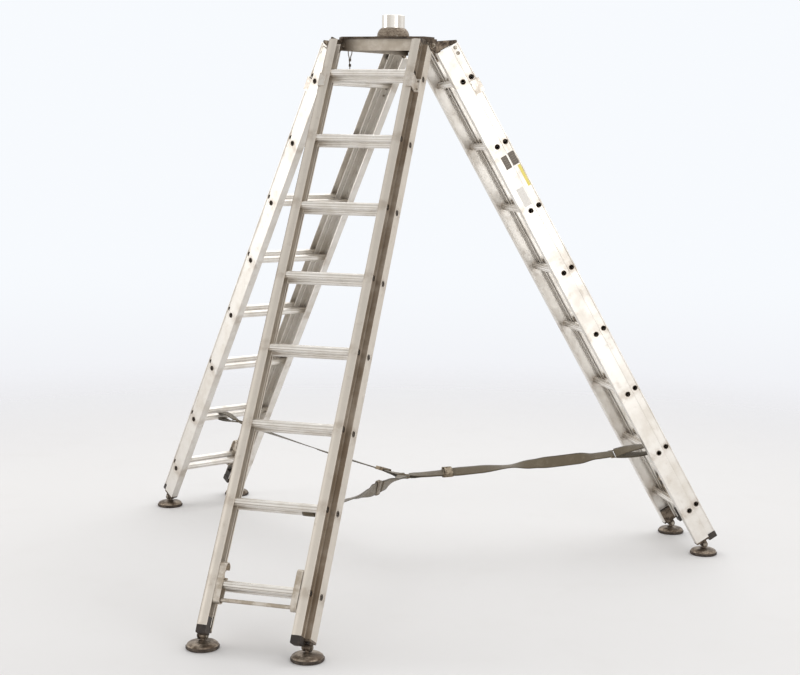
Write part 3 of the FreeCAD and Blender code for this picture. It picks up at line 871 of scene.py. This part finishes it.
def finishForm(form, name, materials):
    bmesh.ops.recalc_face_normals(form, faces=form.faces)
    data = bpy.data.meshes.new(name)
    form.to_mesh(data)
    form.free()
    for material in materials:
        data.materials.append(material)
    piece = bpy.data.objects.new(name, data)
    scene.collection.objects.link(piece)
    return piece


def thicken(piece, thickness):
    # gives a band its thickness and keeps the result as plain mesh
    maker = piece.modifiers.new("thickness", "SOLIDIFY")
    maker.thickness = thickness
    maker.offset = 0
    bpy.context.view_layer.update()
    shown = piece.evaluated_get(bpy.context.evaluated_depsgraph_get())
    shaped = bpy.data.meshes.new_from_object(shown)
    piece.modifiers.clear()
    piece.data = shaped


def boxIn(form, size, centre, rounding):
    # bevelled block of the buckle's metal, in the strap's own directions
    made = bmesh.ops.create_cube(form, size=1)["verts"]
    bmesh.ops.scale(form, vec=size, verts=made)
    bmesh.ops.translate(form, vec=centre, verts=made)
    edges = list({e for v in made for e in v.link_edges})
    result = bmesh.ops.bevel(
        form, geom=edges, offset=rounding, affect="EDGES", segments=3, profile=0.5, material=-1)
    faces = set(result["faces"])
    body = {v for f in faces for v in f.verts} | {v for v in made if v.is_valid}
    for face in {f for v in body for f in v.link_faces}:
        face.material_index = 1
        face.smooth = True
    return [v for v in body if v.is_valid]


buckle = {
    "length": 52 * mm,
    "floor": 1.8 * mm,
    "floorDrop": 3.4 * mm,
    "cheek": 3 * mm,
    "cheekOut": 3 * mm,
    "cheekRise": 2.5 * mm,
    "height": 15 * mm,
    "pin": 3 * mm,
    "pinSpots": (-16 * mm, 15 * mm),
    "pinRise": 4.5 * mm,
    "pinPast": 2.5 * mm,
    "lift": 1 * mm,
    "lever": {"size": (34 * mm, 3.4 * mm), "place": (6 * mm, 8.6 * mm), "rounding": 1.5 * mm},
    "thumb": {"size": (9 * mm, 6 * mm), "place": (20 * mm, 7.4 * mm), "rounding": 2.4 * mm},
}


def camBuckle(form, matrix):
    # cheeks, floor, lever and pins of a spring cam buckle
    half = strap["width"] / 2 + buckle["cheekOut"]
    parts = boxIn(form, (buckle["length"], half * 2, buckle["floor"]), (0, 0, -buckle["floorDrop"]), 0.7 * mm)
    for side in (-1, 1):
        parts += boxIn(
            form, (buckle["length"] * 0.8, buckle["cheek"], buckle["height"]),
            (0, side * half, buckle["cheekRise"]), 1.2 * mm)
    for name, breadth in (("lever", 1.8), ("thumb", 1.6)):
        long, thick = buckle[name]["size"]
        ahead, rise = buckle[name]["place"]
        parts += boxIn(form, (long, half * breadth, thick), (ahead, 0, rise), buckle[name]["rounding"])
    for spot in buckle["pinSpots"]:
        pin = bmesh.ops.create_cone(
            form, cap_ends=True, segments=20, radius1=buckle["pin"], radius2=buckle["pin"],
            depth=half * 2 + buckle["pinPast"] * 2)["verts"]
        bmesh.ops.rotate(form, cent=(0, 0, 0), matrix=Matrix.Rotation(math.pi / 2, 3, "X"), verts=pin)
        bmesh.ops.translate(form, vec=(spot, 0, buckle["pinRise"]), verts=pin)
        for face in {f for v in pin for f in v.link_faces}:
            face.material_index = 1
            face.smooth = len(face.verts) == 4
        parts += pin
    bmesh.ops.transform(form, matrix=matrix, verts=parts)


slide = {"bar": 4 * mm, "barSpots": (-13 * mm, 0, 13 * mm), "length": 31 * mm, "side": 4.4 * mm}


def slideBuckle(form, matrix):
    # three-bar slide that closes the rung's loop
    half = strap["width"] / 2 + slide["bar"]
    parts = []
    for spot in slide["barSpots"]:
        parts += boxIn(form, (slide["bar"], half * 2, slide["bar"]), (spot, 0, 0), slide["bar"] * 0.4)
    for side in (-1, 1):
        parts += boxIn(form, (slide["length"], slide["side"], slide["side"]), (0, side * half, 0), 1.8 * mm)
    bmesh.ops.transform(form, matrix=matrix, verts=parts)


def onStrap(leg, share, lift=0.0):
    point, side = armPoint(leg, share, lift)
    ahead = (armPoint(leg, share + 0.01, lift)[0] - point).normalized()
    side = (side - ahead * side.dot(ahead)).normalized()
    face = ahead.cross(side)
    return Matrix.Translation(point) @ Matrix((ahead, side, face)).transposed().to_4x4()


def makeStrap(leg):
    band = bmesh.new()
    ribbon(band, ringFold(leg), strap["width"])
    ribbon(band, rungLoop(leg), strap["width"])
    shape = strapShapes[leg]
    piece = finishForm(band, leg + "StrapWebbing", [webbing, metals["buckle"]])
    thicken(piece, strap["thick"])
    metal = bmesh.new()
    metal.from_mesh(piece.data)
    start, along, _, length = strapFrame(leg)
    camBuckle(metal, onStrap(leg, shape["buckle"], buckle["lift"]))
    slideBuckle(metal, onStrap(leg, 1 - shape["loop"] / length - strap["slideGap"]))
    metal.to_mesh(piece.data)
    metal.free()
    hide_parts(leg + "_strap")
    # the points where the strap's stiff stretches end, after the cam buckle and before the rung's loop, are
    # worked out and not used
    firm = shape["buckle"] + strap["firmPast"]
    loopStart = length - shape["loop"] - strap["bendMargin"]
    tuple(start + along * length * firm)
    tuple(start + along * loopStart)
    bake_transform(piece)


def makeRing():
    # welded wire ring that holds the three straps together
    form = bmesh.new()
    made = bmesh.ops.create_circle(form, cap_ends=False, segments=20, radius=strap["ringWire"])["verts"]
    bmesh.ops.rotate(form, cent=(0, 0, 0), matrix=Matrix.Rotation(math.pi / 2, 3, "X"), verts=made)
    bmesh.ops.translate(form, vec=(strap["ringRadius"], 0, 0), verts=made)
    bmesh.ops.spin(form, geom=list(form.edges) + list(form.verts), cent=(0, 0, 0), axis=(0, 0, 1),
                   angle=2 * math.pi, steps=64, use_merge=True, use_duplicate=False)
    bmesh.ops.remove_doubles(form, verts=form.verts, dist=1e-6)
    bmesh.ops.translate(form, vec=strap["centre"], verts=form.verts)
    for face in form.faces:
        face.smooth = True
    piece = finishForm(form, "strapRing", [metals["buckle"]])
    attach(piece, "head")
    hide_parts("strap_hardware")


for leg in strapShapes:
    makeStrap(leg)
makeRing()
print("straps fitted")


# labels and tapes on the right-hand leg

# out is how far from the hinge line a film's edges lie, and z how far up the ladder
labels = {
    "sizeLabel": {
        "section": "Base", "out": (0.024, 0.051), "z": (-0.599, -0.541),
        "marks": True, "ground": "ink", "mark": "mark",
    },
    "careLabel": {
        "section": "Fly", "out": (0.0645, 0.0925), "z": (-0.600, -0.541),
        "marks": True, "ground": "ink", "mark": "mark",
    },
    "yellowTape": {
        "section": "Fly", "out": (0.0800, 0.0925), "z": (-0.706, -0.606),
        "marks": False, "ground": "yellow", "mark": "film",
    },
    "oldFilm": {
        "section": "Base", "out": (0.018, 0.052), "z": (-0.775, -0.690),
        "marks": False, "ground": "film", "mark": "mark",
    },
}
labelFilm = {"thick": 0.2 * mm, "gap": 0.15 * mm, "lift": 0.1 * mm}


def stickLabel(name, look):
    form = bmesh.new()
    layer = form.loops.layers.uv.verify()
    bmesh.ops.create_grid(form, x_segments=10, y_segments=6, size=0.5)
    place = legMatrix("leg2")
    for face in form.faces:
        for corner in face.loops:
            corner[layer].uv = (corner.vert.co.x + 0.5, corner.vert.co.y + 0.5)
    for vertex in form.verts:
        z = look["z"][0] + (look["z"][1] - look["z"][0]) * (vertex.co.x + 0.5)
        out = look["out"][0] + (look["out"][1] - look["out"][0]) * (vertex.co.y + 0.5)
        lift = labelFilm["gap"]
        if max(abs(vertex.co.x), abs(vertex.co.y)) == 0.5:
            lift += labelFilm["lift"] * abs(noise.noise(Vector((z * 60, out * 60, 2))))
        vertex.co = place @ Vector((-webFace(look["section"]) - lift, -out, z))
    material = labelFinish(name, labelLook[look["ground"]], labelLook[look["mark"]], look["marks"])
    piece = finishForm(form, name, [material])
    thicken(piece, labelFilm["thick"])
    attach(piece, "leg2_" + look["section"].lower())


for name, look in labels.items():
    stickLabel(name, look)
print("labels stuck on")


# studio

studio = {
    "skyTop": tone(247, 250, 254),
    "skyLow": tone(238, 238, 242),
    "floor": tone(222, 221, 221),
    "floorWorn": tone(207, 204, 201),
    "horizon": (-0.19, -0.07),
    "fill": (0.95, 0.99, 0.975),
    "dimFront": 0.55,
    "floorSize": 9,
    "floorFade": (2.0, 6.5),
    "aim": (0, 0, 1.0),
}
lamps = {
    "rightPanel": {
        "place": (5.0, -4.4, 1.6), "size": (3.0, 2.6), "power": 84, "tint": (1.0, 0.995, 0.985),
    },
    "leftPanel": {
        "place": (-5.5, -2.0, 1.9), "size": (2.6, 2.6), "power": 62, "tint": (1.0, 0.99, 0.975),
    },
    "topPanel": {
        "place": (0.3, 2.2, 5.2), "size": (6.5, 5.0), "power": 125, "tint": (0.97, 0.985, 1.0),
    },
}


def buildSky():
    world = bpy.data.worlds.new("paleStudio")
    scene.world = world
    world.use_nodes = True
    paint = Paint(world.node_tree)
    y, z = paint.parts(paint.node("ShaderNodeTexCoord", out="Generated"))[1:]
    seen = paint.blend(paint.ramp(z, *studio["horizon"]), studio["skyLow"], studio["skyTop"])
    # the light it gives is weaker from the front, high up
    front = paint.ramp(y, 0.1, -0.3) * paint.ramp(z, 0.52, 0.92)
    fill, green, blue = studio["fill"]
    level = fill - front * studio["dimFront"]
    light = paint.node("ShaderNodeCombineColor", inputs={0: level, 1: level * green, 2: level * blue})
    eye = paint.node("ShaderNodeLightPath", out="Is Camera Ray")
    color = paint.blend(eye, light, seen)
    background = paint.node("ShaderNodeBackground", inputs={"Color": color, "Strength": 1.0})
    paint.node("ShaderNodeOutputWorld", inputs={"Surface": background})


def layFloor():
    form = bmesh.new()
    bmesh.ops.create_grid(form, x_segments=8, y_segments=8, size=studio["floorSize"])
    material, paint = newPaint("paleFloor")
    spot = paint.spot()
    far = paint.node("ShaderNodeVectorMath", {"operation": "LENGTH"}, {0: spot}, 1)
    scuff = paint.ramp(paint.speckle(spot, 3.2, 6.0, 0.6), 0.5, 0.75)
    color = paint.blend(scuff * 0.10, studio["floor"], studio["floorWorn"])
    paint.surface(color, 0.8, 0.0, alpha=1 - paint.ramp(far, *studio["floorFade"]))
    piece = finishForm(form, "paleFloor", [material])


def hangLamps():
    for name, lamp in lamps.items():
        data = bpy.data.lights.new(name, "AREA")
        data.shape = "RECTANGLE"
        data.size, data.size_y = lamp["size"]
        data.energy = lamp["power"]
        data.color = lamp["tint"]
        holder = bpy.data.objects.new(name, data)
        scene.collection.objects.link(holder)
        aim = Vector(studio["aim"]) - Vector(lamp["place"])
        facing = aim.to_track_quat("-Z", "Y").to_matrix().to_4x4()
        holder.matrix_world = Matrix.Translation(lamp["place"]) @ facing


buildSky()
layFloor()
hangLamps()
print("studio lit")
